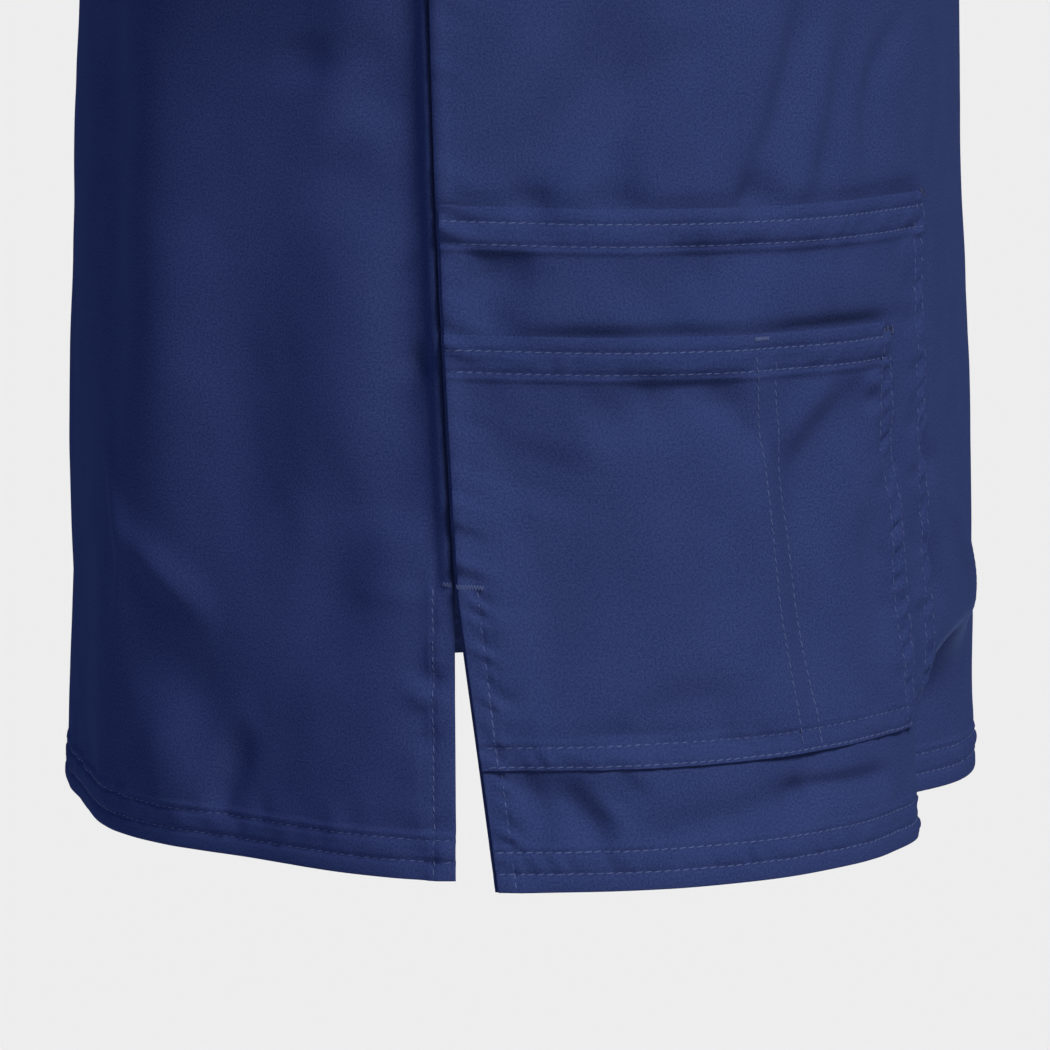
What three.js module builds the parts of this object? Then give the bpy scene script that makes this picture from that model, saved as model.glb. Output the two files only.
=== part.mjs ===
// A short-sleeved scrub top in navy twill, in the filled-out form it has when worn, with nobody in it.
// Millimetres, +Z up. The front faces -Y and the wearer's right side is -X.
// The origin is where the shoulders carry it: on the middle plane, level with the neck ends of the
// shoulder seams. Heights are measured up from the front hem.
import * as THREE from "three";

// Driving dimensions of the garment
const bodyLength = 655;
const underarmHeight = 420;
const ventHeight = 86;
const backHemRise = 3;
const hemDepth = 12;
const seamGap = 0.3;
const clothWall = 1.2;
const hemWall = 2;
const bandWall = 1.6;
const pocketWall = 1;

// Sections of the torso. halfWidth reaches the side seams, seamY is where these lie from front to
// back, and the two depths run forward and back from there.
const sections = [
  { height: 0, halfWidth: 205, frontDepth: 142, backDepth: 139.5, seamY: 0 },
  { height: 130, halfWidth: 199, frontDepth: 146.5, backDepth: 128.5, seamY: 9 },
  { height: 258, halfWidth: 192, frontDepth: 147.5, backDepth: 120, seamY: 14.5 },
  { height: 340, halfWidth: 187, frontDepth: 148.5, backDepth: 118.5, seamY: 15 },
  { height: 420, halfWidth: 188, frontDepth: 144, backDepth: 116, seamY: 14.5 },
  { height: 505, halfWidth: 200, frontDepth: 120, backDepth: 111, seamY: 12 },
  { height: 585, halfWidth: 214, frontDepth: 82, backDepth: 90, seamY: 8 },
  { height: 655, halfWidth: 228, frontDepth: 62, backDepth: 66, seamY: 5 },
];

// How square each section is: 2 is an ellipse. sign is the way that the panel faces along Y.
const faces = {
  front: { depth: "frontDepth", power: 2.4, sign: -1 },
  back: { depth: "backDepth", power: 2.3, sign: 1 },
};

// The large soft folds. side is -1 on the wearer's right, fromCentre is round the cloth from the middle
// of the panel, and each fold fades out between the heights fullTo and goneAt. The two that go up to the
// underarm flatten the back beside its side seams.
const folds = [
  { face: "front", side: -1, fromCentre: 62, width: 37, depth: 21, fullTo: 38, goneAt: 68 },
  { face: "front", side: 1, fromCentre: 70, width: 34, depth: 18, fullTo: 22, goneAt: 92 },
  { face: "back", side: -1, fromCentre: 204, width: 43, depth: 12, fullTo: 290, goneAt: 420 },
  { face: "back", side: 1, fromCentre: 192, width: 40, depth: 10, fullTo: 280, goneAt: 420 },
  { face: "back", side: -1, fromCentre: 92, width: 26, depth: 3, fullTo: 40, goneAt: 190 },
  { face: "back", side: 1, fromCentre: 74, width: 30, depth: 4, fullTo: 60, goneAt: 170 },
];

// The vent at the foot of each side seam: how far each edge stands from the seam line at the hem.
const ventGape = { front: 5.6, back: 5.4 };

// Shoulders: the ridge falls away from the neck, and the cloth rounds over it.
const shoulderSlope = 0.36;
const shoulderRound = 60;
const ridgeFlat = 60;
const neckEndX = 71;

// Edge of the armhole, by the share of the way from the underarm to the shoulder seam.
const armhole = [
  { rise: 0, halfWidth: 188 },
  { rise: 0.08, halfWidth: 181 },
  { rise: 0.2, halfWidth: 173 },
  { rise: 0.45, halfWidth: 168 },
  { rise: 0.75, halfWidth: 177 },
  { rise: 1, halfWidth: 196 },
];

// Neckline, as half width along the shoulder seam and as drop over the cloth at the middle, for the
// edge that the band is sewn to and for the band's free edge.
const neckEdge = { halfWidth: 96, frontDrop: 250, backDrop: 81 };
const bandEdge = { halfWidth: 70.3, frontDrop: 183, backDrop: 57 };

// The seam gap as it measures across and down at each neckline, whose front half runs at a slant.
const neckSlant = Math.atan2(neckEdge.halfWidth, neckEdge.frontDrop);
const bandGap = {
  front: { across: seamGap / Math.cos(neckSlant), down: seamGap / Math.sin(neckSlant) },
  back: { across: seamGap, down: seamGap },
};

// Patch pockets. Widths run round the cloth from the side seam, tops at the seam and at the inner end.
// The small pocket narrows towards its top by taper.
const pocketInset = 1;
const largePocket = { width: 184, topAtSeam: 199, topInside: 193.5 };
const smallPocket = { width: 163.5, taper: 9.5, bottom: 35.5, topAtSeam: 162, topInside: 157 };

// Sleeve: the outer and inner points of its hem and the half width of the hem from front to back.
const sleeveHem = { outer: [310, 2, -228], inner: [212, 2, -318], halfDepth: 56 };
const sleeveStart = [0.93, 0, -0.36];

// How finely each stretch is divided
const frontColumns = [1, 7, 2, 7];
const backColumns = 13;
const lowerRows = [1, 2, 3, 3, 2, 8];
const besideNeckRows = { front: 2, back: 6 };
const neckRows = { front: 9, back: 6 };
const sleeveRings = 9;
const arcSteps = 72;

const navy = { colour: 0x1e2a52, roughness: 0.85, metalness: 0 };

// Interpolates one column of a table smoothly over its key column.
function readTable(table, key, column, at) {
  const last = table.length - 1;
  const value = Math.min(Math.max(at, table[0][key]), table[last][key]);
  let row = 0;
  while (row < last - 1 && value > table[row + 1][key]) row += 1;
  const slope = (k) => {
    const from = table[Math.max(k - 1, 0)];
    const to = table[Math.min(k + 1, last)];
    return (to[column] - from[column]) / (to[key] - from[key]);
  };
  const span = table[row + 1][key] - table[row][key];
  const t = (value - table[row][key]) / span;
  return THREE.MathUtils.lerp(table[row][column], table[row + 1][column], t * t * (3 - 2 * t))
    + span * t * (1 - t) * ((1 - t) * slope(row) - t * slope(row + 1));
}

// Divides the stretches between stops into the given numbers of equal steps.
function spread(stops, counts) {
  const values = [stops[0]];
  counts.forEach((count, k) => {
    for (let step = 1; step <= count; step += 1) {
      values.push(THREE.MathUtils.lerp(stops[k], stops[k + 1], step / count));
    }
  });
  return values;
}

const smooth = (t) => THREE.MathUtils.smoothstep(t, 0, 1);

// Half section of a panel at a height, on the +X side, with angle 0 at the middle and PI / 2 at the seam.
function sectionPoint(face, height, angle) {
  const { depth, power, sign } = faces[face];
  const x = readTable(sections, "height", "halfWidth", height) * Math.sin(angle) ** (2 / power);
  const reach = readTable(sections, "height", depth, height) * Math.cos(angle) ** (2 / power);
  return [x, readTable(sections, "height", "seamY", height) + sign * reach];
}

// The same half section with its length measured round the cloth from the side seam.
const measured = new Map();
function sectionArc(face, height) {
  const key = `${face} ${height}`;
  if (!measured.has(key)) {
    const points = [];
    const lengths = [0];
    for (let k = 0; k <= arcSteps; k += 1) {
      points.push(sectionPoint(face, height, (Math.PI / 2) * (1 - k / arcSteps)));
      if (k > 0) {
        const [dx, dy] = [points[k][0] - points[k - 1][0], points[k][1] - points[k - 1][1]];
        lengths.push(lengths[k - 1] + Math.hypot(dx, dy));
      }
    }
    measured.set(key, { points, lengths, total: lengths[arcSteps] });
  }
  return measured.get(key);
}

// A point round the plain section and the way that the cloth faces there.
function alongSection(face, height, arc) {
  const { points, lengths, total } = sectionArc(face, height);
  const at = Math.min(Math.max(arc, 0), total);
  let k = 1;
  while (k < arcSteps && lengths[k] < at) k += 1;
  const t = (at - lengths[k - 1]) / (lengths[k] - lengths[k - 1]);
  const place = points[k - 1].map((value, axis) => THREE.MathUtils.lerp(value, points[k][axis], t));
  if (at === total) return { place: points[arcSteps], facing: [0, faces[face].sign] };
  const run = [points[k][0] - points[k - 1][0], points[k][1] - points[k - 1][1]];
  const length = Math.hypot(...run) * faces[face].sign;
  return { place, facing: [run[1] / length, -run[0] / length] };
}

// How far the folds draw the cloth in, by signed distance from the middle of the panel and height.
function foldDepth(face, across, height) {
  return folds.filter((fold) => fold.face === face).reduce((depth, fold) => {
    const offset = (across - fold.side * fold.fromCentre) / fold.width;
    const fade = 1 - smooth((height - fold.fullTo) / (fold.goneAt - fold.fullTo));
    return depth + fold.depth * Math.exp(-(offset ** 2)) * fade;
  }, 0);
}

// Point of the torso below the underarm, by arc round the cloth from the side seam and height.
function lowerPoint(face, side, arc, height) {
  const { place, facing } = alongSection(face, height, arc);
  const inward = foldDepth(face, side * (sectionArc(face, height).total - arc), height);
  const x = place[0] - facing[0] * inward;
  const y = place[1] - facing[1] * inward;
  return new THREE.Vector3(side * x, y, height - bodyLength);
}

// Height of the shoulder ridge over the origin.
function ridge(x) {
  return shoulderSlope * (Math.hypot(neckEndX, ridgeFlat) - Math.hypot(x, ridgeFlat));
}

// Point of the torso above the underarm, by half width and drop over the cloth from the shoulder ridge.
function upperPoint(face, side, x, drop) {
  const { depth, power, sign } = faces[face];
  const turn = Math.min(drop / shoulderRound, Math.PI / 2);
  const fall = shoulderRound * (1 - Math.cos(turn)) + Math.max(drop - (shoulderRound * Math.PI) / 2, 0);
  const z = ridge(x) - fall;
  const height = z + bodyLength;
  const share = Math.min(x / readTable(sections, "height", "halfWidth", height), 1);
  const reach = readTable(sections, "height", depth, height) * (1 - share ** power) ** (1 / power);
  const y = readTable(sections, "height", "seamY", height) + sign * (reach * Math.sin(turn) + seamGap / 2);
  return new THREE.Vector3(side * x, y, z);
}

// Drop from the ridge to the level of the underarm.
function fullDrop(x) {
  return ridge(x) + bodyLength - underarmHeight - shoulderRound + (shoulderRound * Math.PI) / 2;
}

// A vertex of a surface place(u, v) with its outward normal.
function vertexOn(place, u, v) {
  const step = 0.5;
  const point = place(u, v);
  const alongU = place(u + step, v).sub(place(Math.max(u - step, 0), v));
  const alongV = place(u, v + step).sub(place(u, Math.max(v - step, 0)));
  const normal = alongU.cross(alongV).normalize();
  const core = new THREE.Vector3(point.x / 2, 10, Math.min(point.z, -100));
  if (normal.dot(point.clone().sub(core)) < 0) normal.negate();
  return { point, normal, u, v };
}

// Arcs of the front columns of a row: side edge, pocket edges, middle.
function frontStops(height, insideHeight) {
  const total = sectionArc("front", insideHeight).total;
  const scale = height > largePocket.topAtSeam
    ? total / sectionArc("front", largePocket.topInside).total : 1;
  const edge = sideEdge("front", height);
  const up = (height - smallPocket.bottom) / (smallPocket.topAtSeam - smallPocket.bottom);
  const smallWidth = smallPocket.width - smallPocket.taper * Math.min(Math.max(up, 0), 1) ** 2;
  return [edge, edge + pocketInset, smallWidth * scale, largePocket.width * scale, total];
}

function sideEdge(face, height) {
  return seamGap / 2 + ventGape[face] * Math.max(1 - height / ventHeight, 0);
}

const rowsAtSeam = spread(
  [0, hemDepth, smallPocket.bottom, ventHeight, smallPocket.topAtSeam, largePocket.topAtSeam, underarmHeight],
  lowerRows,
);
const rowsInside = spread(
  [0, hemDepth, smallPocket.bottom, ventHeight, smallPocket.topInside, largePocket.topInside, underarmHeight],
  lowerRows,
);

// Place on the neckline, or on a line beside it, from 0 at the middle to 1 at the shoulder seam: a
// straight line in front, a round one at the back.
function neckPlace(face, line, along) {
  if (face === "front") return { x: line.halfWidth * along, drop: line.frontDrop * (1 - along) };
  const angle = (Math.PI / 2) * along;
  return { x: line.halfWidth * Math.sin(angle), drop: line.backDrop * Math.cos(angle) };
}

// Rows above the underarm: the share of the way up, and the half width where the neckline cuts in.
function upperRows(face) {
  const neckline = spread([0, 1], [neckRows[face]]).map((along) => {
    const { x, drop } = neckPlace(face, neckEdge, along);
    return { rise: 1 - drop / fullDrop(x), neck: x };
  });
  const beside = spread([0, neckline[0].rise], [besideNeckRows[face]]).slice(1, -1);
  return [...beside.map((rise) => ({ rise, neck: 0 })), ...neckline];
}

// One half of a panel as rows of vertices, from the side edge to the middle.
function halfPanel(face, side) {
  const beneath = (arc, height) => lowerPoint(face, side, arc, height);
  const above = (x, drop) => upperPoint(face, side, x, drop);
  const rows = rowsAtSeam.map((seamHeight, row) => {
    if (face === "back") {
      const height = seamHeight + backHemRise * (1 - seamHeight / underarmHeight);
      const arcs = spread([sideEdge(face, height), sectionArc(face, height).total], [backColumns]);
      return arcs.map((arc) => vertexOn(beneath, arc, height));
    }
    return spread(frontStops(seamHeight, rowsInside[row]), frontColumns).map((arc) => {
      const slide = Math.min(arc / largePocket.width, 1);
      return vertexOn(beneath, arc, THREE.MathUtils.lerp(seamHeight, rowsInside[row], slide));
    });
  });
  const base = rows[rows.length - 1];
  const last = base.length - 1;
  const widest = Math.abs(base[0].point.x);
  for (const { rise, neck } of upperRows(face)) {
    const edge = readTable(armhole, "rise", "halfWidth", rise);
    rows.push(base.map((foot, k) => {
      const below = Math.abs(foot.point.x) / widest;
      const share = THREE.MathUtils.lerp(below, 1 - k / last, smooth(rise / 0.6));
      const x = neck + (edge - neck) * share;
      return vertexOn(above, x, (1 - rise) * fullDrop(x));
    }));
  }
  return rows;
}

// A sheet of vertices joined by quads, with shared vertices merged.
class Sheet {
  constructor() {
    this.vertices = [];
    this.quads = [];
    this.places = new Map();
  }

  indexOf(vertex) {
    const key = vertex.point.toArray().map((value) => Math.round(value * 100)).join(" ");
    if (!this.places.has(key)) {
      this.places.set(key, this.vertices.length);
      this.vertices.push(vertex);
    }
    return this.places.get(key);
  }

  addGrid(rows, closed = false) {
    const index = rows.map((row) => row.map((vertex) => this.indexOf(vertex)));
    for (let row = 1; row < index.length; row += 1) {
      const width = index[row].length;
      for (let k = closed ? 0 : 1; k < width; k += 1) {
        const before = (k + width - 1) % width;
        const quad = [index[row - 1][before], index[row - 1][k], index[row][k], index[row][before]];
        this.quads.push(this.facesOut(quad) ? quad : quad.reverse());
      }
    }
    return this;
  }

  facesOut(quad) {
    const [a, b, c, d] = quad.map((k) => this.vertices[k].point);
    const across = c.clone().sub(a).cross(d.clone().sub(b));
    const outward = quad.reduce((sum, k) => sum.add(this.vertices[k].normal), new THREE.Vector3());
    return across.dot(outward) > 0;
  }
}

// A closed wall: the sheet's outer and inner faces and a rim along its free edges. rise is the height
// of the outer face over the sheet, wall the thickness, or a function of the vertex that gives it.
function wallGeometry(sheet, wall, rise = 0) {
  const count = sheet.vertices.length;
  const outer = sheet.vertices.map(({ point, normal }) => point.clone().addScaledVector(normal, rise));
  const inner = sheet.vertices.map((vertex, k) => {
    const thickness = typeof wall === "function" ? wall(vertex) : wall;
    return outer[k].clone().addScaledVector(vertex.inward ?? vertex.normal.clone().negate(), thickness);
  });
  const edges = new Map();
  const indices = [];
  for (const [a, b, c, d] of sheet.quads) {
    indices.push(a, b, c, a, c, d);
    indices.push(count + a, count + c, count + b, count + a, count + d, count + c);
    for (const [from, to] of [[a, b], [b, c], [c, d], [d, a]]) {
      if (edges.has(`${to} ${from}`)) edges.delete(`${to} ${from}`);
      else edges.set(`${from} ${to}`, [from, to]);
    }
  }
  for (const [from, to] of edges.values()) {
    indices.push(from, count + from, count + to, from, count + to, to);
  }
  const geometry = new THREE.BufferGeometry();
  const positions = [...outer, ...inner].flatMap((point) => point.toArray());
  geometry.setAttribute("position", new THREE.Float32BufferAttribute(positions, 3));
  geometry.setIndex(indices);
  geometry.computeVertexNormals();
  return geometry;
}

const part = new THREE.Group();

function addPiece(name, geometry) {
  const { colour, roughness, metalness } = navy;
  const material = new THREE.MeshStandardMaterial({ color: colour, roughness, metalness });
  const mesh = new THREE.Mesh(geometry, material);
  mesh.name = name;
  part.add(mesh);
}

// The turned hem makes the wall thicker at the foot of a panel.
const panelWall = ({ point }) => (point.z < hemDepth + backHemRise + 1 - bodyLength ? hemWall : clothWall);

function panel(halves) {
  const sheet = new Sheet();
  halves.forEach((rows) => sheet.addGrid(rows));
  return wallGeometry(sheet, panelWall);
}

// A patch pocket lies on the panel's own vertices, moved out.
function pocket(rows, from, to, firstColumn, lastColumn, lift) {
  const patch = rows.slice(from, to + 1).map((row) => row.slice(firstColumn, lastColumn + 1));
  return wallGeometry(new Sheet().addGrid(patch), pocketWall, lift + seamGap + pocketWall);
}

// Half of a neck band: a strip from the neckline to its own free edge, over the panels' surface.
function halfBand(face, side) {
  const place = (x, drop) => upperPoint(face, side, x, drop);
  const lines = [0, 0.5, 1].map((across) => ({
    halfWidth: THREE.MathUtils.lerp(neckEdge.halfWidth - bandGap[face].across, bandEdge.halfWidth, across),
    frontDrop: THREE.MathUtils.lerp(neckEdge.frontDrop - bandGap[face].down, bandEdge.frontDrop, across),
    backDrop: THREE.MathUtils.lerp(neckEdge.backDrop - bandGap[face].down, bandEdge.backDrop, across),
  }));
  return spread([0, 1], [neckRows[face]]).map((along) => lines.map((line) => {
    const { x, drop } = neckPlace(face, line, along);
    return vertexOn(place, x, drop);
  }));
}

function band(face) {
  const sheet = new Sheet().addGrid(halfBand(face, -1)).addGrid(halfBand(face, 1));
  return wallGeometry(sheet, bandWall);
}

// The armhole loop: underarm, up the front edge, shoulder, down the back edge. away points over the
// cloth, off the panel.
function armholeLoop(frontRows, backRows) {
  const start = rowsAtSeam.length - 1;
  const middleOf = (a, b) => a.point.clone().add(b.point).multiplyScalar(0.5);
  const edge = (rows) => rows.slice(start + 1, -1).map((row, k, all) => (
    { point: row[0].point, from: row[1].point, along: (k + 1) / (all.length + 1) }));
  const underarm = {
    point: middleOf(frontRows[start][0], backRows[start][0]),
    from: middleOf(frontRows[start - 1][0], backRows[start - 1][0]),
  };
  const [frontTop, backTop] = [frontRows[frontRows.length - 1], backRows[backRows.length - 1]];
  const shoulder = { point: middleOf(frontTop[0], backTop[0]), from: middleOf(frontTop[1], backTop[1]) };
  const loop = [
    { ...underarm, turn: Math.PI },
    ...edge(frontRows).map((place) => ({ ...place, turn: Math.PI * (1 - place.along) })),
    { ...shoulder, turn: 0 },
    ...edge(backRows).map((place) => ({ ...place, turn: -Math.PI * (1 - place.along) })).reverse(),
  ];
  loop.forEach((place, k) => {
    const next = loop[(k + 1) % loop.length].point;
    const previous = loop[(k + loop.length - 1) % loop.length].point;
    const run = next.clone().sub(previous).normalize();
    const away = place.point.clone().sub(place.from);
    place.away = away.addScaledVector(run, -away.dot(run)).normalize();
  });
  return loop;
}

// Sleeve: each armhole point runs out in a smooth curve to its place round the sleeve hem.
function sleeve(side, frontRows, backRows) {
  const loop = armholeLoop(frontRows, backRows);
  const mirrored = ([x, y, z]) => new THREE.Vector3(side * x, y, z);
  const outer = mirrored(sleeveHem.outer);
  const inner = mirrored(sleeveHem.inner);
  const centre = outer.clone().add(inner).multiplyScalar(0.5);
  const reach = outer.clone().sub(centre);
  const hang = new THREE.Vector3(-reach.z, 0, reach.x).multiplyScalar(-side).normalize();
  const out = mirrored(sleeveStart);
  const rings = [];
  for (let ring = 0; ring <= sleeveRings; ring += 1) {
    const t = ring / sleeveRings;
    rings.push(loop.map(({ point, away, turn }) => {
      const high = (1 + Math.cos(turn)) / 2;
      const start = point.clone().addScaledVector(away, seamGap);
      const end = centre.clone().addScaledVector(reach, Math.cos(turn));
      end.y -= sleeveHem.halfDepth * Math.sin(turn);
      const pull = end.distanceTo(start);
      const leave = away.clone().multiplyScalar(0.12 + 0.5 * high)
        .addScaledVector(out, 0.88 - 0.5 * high).normalize().multiplyScalar(pull);
      const arrive = hang.clone().multiplyScalar(pull);
      const place = start.multiplyScalar(2 * t ** 3 - 3 * t ** 2 + 1)
        .addScaledVector(leave, t ** 3 - 2 * t ** 2 + t)
        .addScaledVector(end, 3 * t ** 2 - 2 * t ** 3)
        .addScaledVector(arrive, t ** 3 - t ** 2);
      return { point: place, away: ring === 0 ? away : null, last: ring === sleeveRings };
    }));
  }
  ringNormals(rings);
  for (const vertex of rings[0]) {
    const inward = vertex.normal.clone().negate();
    const back = Math.min(inward.dot(vertex.away), 0);
    vertex.inward = inward.addScaledVector(vertex.away, -back).normalize();
  }
  return wallGeometry(new Sheet().addGrid(rings, true), ({ last }) => (last ? hemWall : clothWall));
}

// Outward normals of a tube given as rings of vertices.
function ringNormals(rings) {
  rings.forEach((ring, row) => {
    const centre = ring.reduce((sum, { point }) => sum.add(point), new THREE.Vector3())
      .divideScalar(ring.length);
    ring.forEach((vertex, k) => {
      const round = ring[(k + 1) % ring.length].point.clone()
        .sub(ring[(k + ring.length - 1) % ring.length].point);
      const along = rings[Math.min(row + 1, rings.length - 1)][k].point.clone()
        .sub(rings[Math.max(row - 1, 0)][k].point);
      vertex.normal = round.cross(along).normalize();
      if (vertex.normal.dot(vertex.point.clone().sub(centre)) < 0) vertex.normal.negate();
    });
  });
}

const frontHalves = { right: halfPanel("front", -1), left: halfPanel("front", 1) };
const backHalves = { right: halfPanel("back", -1), left: halfPanel("back", 1) };

addPiece("front_panel", panel(Object.values(frontHalves)));
addPiece("back_panel", panel(Object.values(backHalves)));
addPiece("right_sleeve", sleeve(-1, frontHalves.right, backHalves.right));
addPiece("left_sleeve", sleeve(1, frontHalves.left, backHalves.left));
addPiece("front_neck_band", band("front"));
addPiece("back_neck_band", band("back"));

const columnOf = (stretch) => frontColumns.slice(0, stretch).reduce((sum, count) => sum + count, 0);
const rowOf = (stretch) => lowerRows.slice(0, stretch).reduce((sum, count) => sum + count, 0);
addPiece("right_pocket", pocket(frontHalves.right, 0, rowOf(5), columnOf(1), columnOf(3), 0));
addPiece("left_pocket", pocket(frontHalves.left, 0, rowOf(5), columnOf(1), columnOf(3), 0));
const onLarge = seamGap + pocketWall;
addPiece("small_pocket", pocket(frontHalves.right, rowOf(2), rowOf(4), columnOf(1), columnOf(2), onLarge));

export default part;
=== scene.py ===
import math

import bmesh
import bpy
import numpy as np
from mathutils import Matrix, Vector


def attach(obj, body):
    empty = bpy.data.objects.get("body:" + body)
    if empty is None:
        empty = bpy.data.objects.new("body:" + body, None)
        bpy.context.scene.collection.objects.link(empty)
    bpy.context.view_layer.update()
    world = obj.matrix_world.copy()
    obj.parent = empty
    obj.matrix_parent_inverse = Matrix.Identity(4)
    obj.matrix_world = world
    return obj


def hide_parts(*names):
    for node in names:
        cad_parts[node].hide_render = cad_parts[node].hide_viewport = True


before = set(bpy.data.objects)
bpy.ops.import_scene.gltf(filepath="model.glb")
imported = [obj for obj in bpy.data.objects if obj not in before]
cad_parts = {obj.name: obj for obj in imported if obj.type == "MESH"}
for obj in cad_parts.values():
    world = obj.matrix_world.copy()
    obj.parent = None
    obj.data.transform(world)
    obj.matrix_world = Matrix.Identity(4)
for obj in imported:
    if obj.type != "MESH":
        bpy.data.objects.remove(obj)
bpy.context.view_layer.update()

# Shapes are worked out in millimetres, with heights up from the front hem, and turned into metres
# when a mesh is made. The front faces -Y, and the wearer's right side, side = -1, is towards -X.
mm = 0.001
scene = bpy.context.scene

torsoCentre = np.array([0, 10, -300])

garment = {
    "length": 655,
    "underarm": 420,
    "vent": 86,
    "backRise": 3,
    "seamGap": 0.3,
    "shoulderSlope": 0.36,
    "shoulderRound": 60,
    "ridgeFlat": 60,
    "neckEnd": 71,
    "wall": 1.1,
}

sections = {
    "height": (0, 130, 258, 340, 420, 505, 585, 655),
    "halfWidth": (205, 199, 192, 187, 188, 200, 214, 228),
    "front": (142, 146.5, 147.5, 148.5, 144, 120, 82, 62),
    "back": (139.5, 128.5, 120, 118.5, 116, 111, 90, 66),
    "seamY": (0, 9, 14.5, 15, 14.5, 12, 8, 5),
}
facePower = {"front": 2.4, "back": 2.3}
faceSign = {"front": -1, "back": 1}
ventGape = {"front": 5.6, "back": 5.4}

# The large folds: side, distance round the cloth from the middle of the panel, width, depth, and the
# heights that the full depth reaches and where it is gone. The first two of the back flatten it beside
# its side seams up to the underarm.
hemFolds = {
    "front": [(-1, 62, 37, 29, 28, 60), (1, 70, 34, 18, 22, 92)],
    "back": [
        (-1, 204, 43, 12, 290, 420), (1, 192, 40, 10, 280, 420),
        (-1, 92, 26, 3, 40, 190), (1, 74, 30, 4, 60, 170),
    ],
}

armholeRows = {"rise": (0, 0.08, 0.2, 0.45, 0.75, 1), "halfWidth": (188, 181, 173, 168, 177, 196)}
neckEdge = {"halfWidth": 96, "front": 250, "back": 81}
bandEdge = {"halfWidth": 70.3, "front": 183, "back": 57}


def smooth(t):
    t = np.clip(t, 0, 1)
    return t * t * (3 - 2 * t)


def bell(x, width):
    return np.exp(-((x / width) ** 2))


def unit(vectors):
    return vectors / np.maximum(np.linalg.norm(vectors, axis=-1, keepdims=True), 1e-9)


def readTable(table, key, column, at):
    keys = np.array(table[key], float)
    values = np.array(table[column], float)
    last = len(keys) - 1
    before = np.maximum(np.arange(last + 1) - 1, 0)
    after = np.minimum(np.arange(last + 1) + 1, last)
    slopes = (values[after] - values[before]) / (keys[after] - keys[before])
    at = np.clip(at, keys[0], keys[-1])
    row = np.clip(np.searchsorted(keys, at, side="left") - 1, 0, last - 1)
    span = keys[row + 1] - keys[row]
    t = (at - keys[row]) / span
    blend = values[row] + (values[row + 1] - values[row]) * t * t * (3 - 2 * t)
    return blend + span * t * (1 - t) * ((1 - t) * slopes[row] - t * slopes[row + 1])


def spread(stops, counts):
    values = [float(stops[0])]
    for start, end, count in zip(stops, stops[1:], counts):
        values.extend(start + (end - start) * step / count for step in range(1, count + 1))
    return np.array(values)


# Smooth noise from seeded random numbers on a grid of stepX by stepY millimetres
def wobble(seed, x, y, stepX, stepY):
    numbers = np.random.default_rng(seed).uniform(-1, 1, (64, 64))
    gx = np.asarray(x) / stepX + 640
    gy = np.asarray(y) / stepY + 640
    ix = np.floor(gx).astype(int)
    iy = np.floor(gy).astype(int)
    tx = smooth(gx - ix)
    ty = smooth(gy - iy)
    low = numbers[ix % 64, iy % 64] * (1 - tx) + numbers[(ix + 1) % 64, iy % 64] * tx
    high = numbers[ix % 64, (iy + 1) % 64] * (1 - tx) + numbers[(ix + 1) % 64, (iy + 1) % 64] * tx
    return low * (1 - ty) + high * ty


def addObject(name, data):
    piece = bpy.data.objects.new(name, data)
    scene.collection.objects.link(piece)
    return piece


def meshFrom(bm, name):
    mesh = bpy.data.meshes.new(name)
    bm.to_mesh(mesh)
    bm.free()
    return mesh


# Every section of the torso, cut into equal shares of its length from the side seam to the middle
latticeSteps = 240
latticeGap = 4.0
latticeHeights = np.arange(0, 672, latticeGap)


def measureSections(face):
    power = facePower[face]
    angles = np.linspace(math.pi / 2, 0, 721)
    rows = []
    totals = []
    for height in latticeHeights:
        x = readTable(sections, "height", "halfWidth", height) * np.sin(angles) ** (2 / power)
        reach = readTable(sections, "height", face, height) * np.abs(np.cos(angles)) ** (2 / power)
        y = readTable(sections, "height", "seamY", height) + faceSign[face] * reach
        lengths = np.concatenate([[0], np.cumsum(np.hypot(np.diff(x), np.diff(y)))])
        shares = np.linspace(0, lengths[-1], latticeSteps + 1)
        rows.append([np.interp(shares, lengths, x), np.interp(shares, lengths, y)])
        totals.append(lengths[-1])
    return {"places": np.array(rows), "totals": np.array(totals)}


lattice = {face: measureSections(face) for face in ("front", "back")}


def sectionTotal(face, height):
    return np.interp(height, latticeHeights, lattice[face]["totals"])


def sectionPlace(face, arc, height):
    arc, height = np.broadcast_arrays(np.asarray(arc, float), np.asarray(height, float))
    places = lattice[face]["places"]
    row = np.clip(height / latticeGap, 0, len(latticeHeights) - 1.001)
    column = np.clip(arc / sectionTotal(face, height), 0, 1) * latticeSteps
    r0 = row.astype(int)
    c0 = np.minimum(column.astype(int), latticeSteps - 1)
    tr = row - r0
    tc = column - c0
    result = []
    for axis in (0, 1):
        grid = places[:, axis, :]
        low = grid[r0, c0] * (1 - tc) + grid[r0, c0 + 1] * tc
        high = grid[r0 + 1, c0] * (1 - tc) + grid[r0 + 1, c0 + 1] * tc
        result.append(low * (1 - tr) + high * tr)
    return result


def foldDepth(face, across, height):
    depth = np.zeros(np.broadcast(across, height).shape)
    for side, fromMiddle, width, deep, fullTo, goneAt in hemFolds[face]:
        fade = 1 - smooth((height - fullTo) / (goneAt - fullTo))
        depth = depth + deep * bell(across - side * fromMiddle, width) * fade
    return depth


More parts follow.
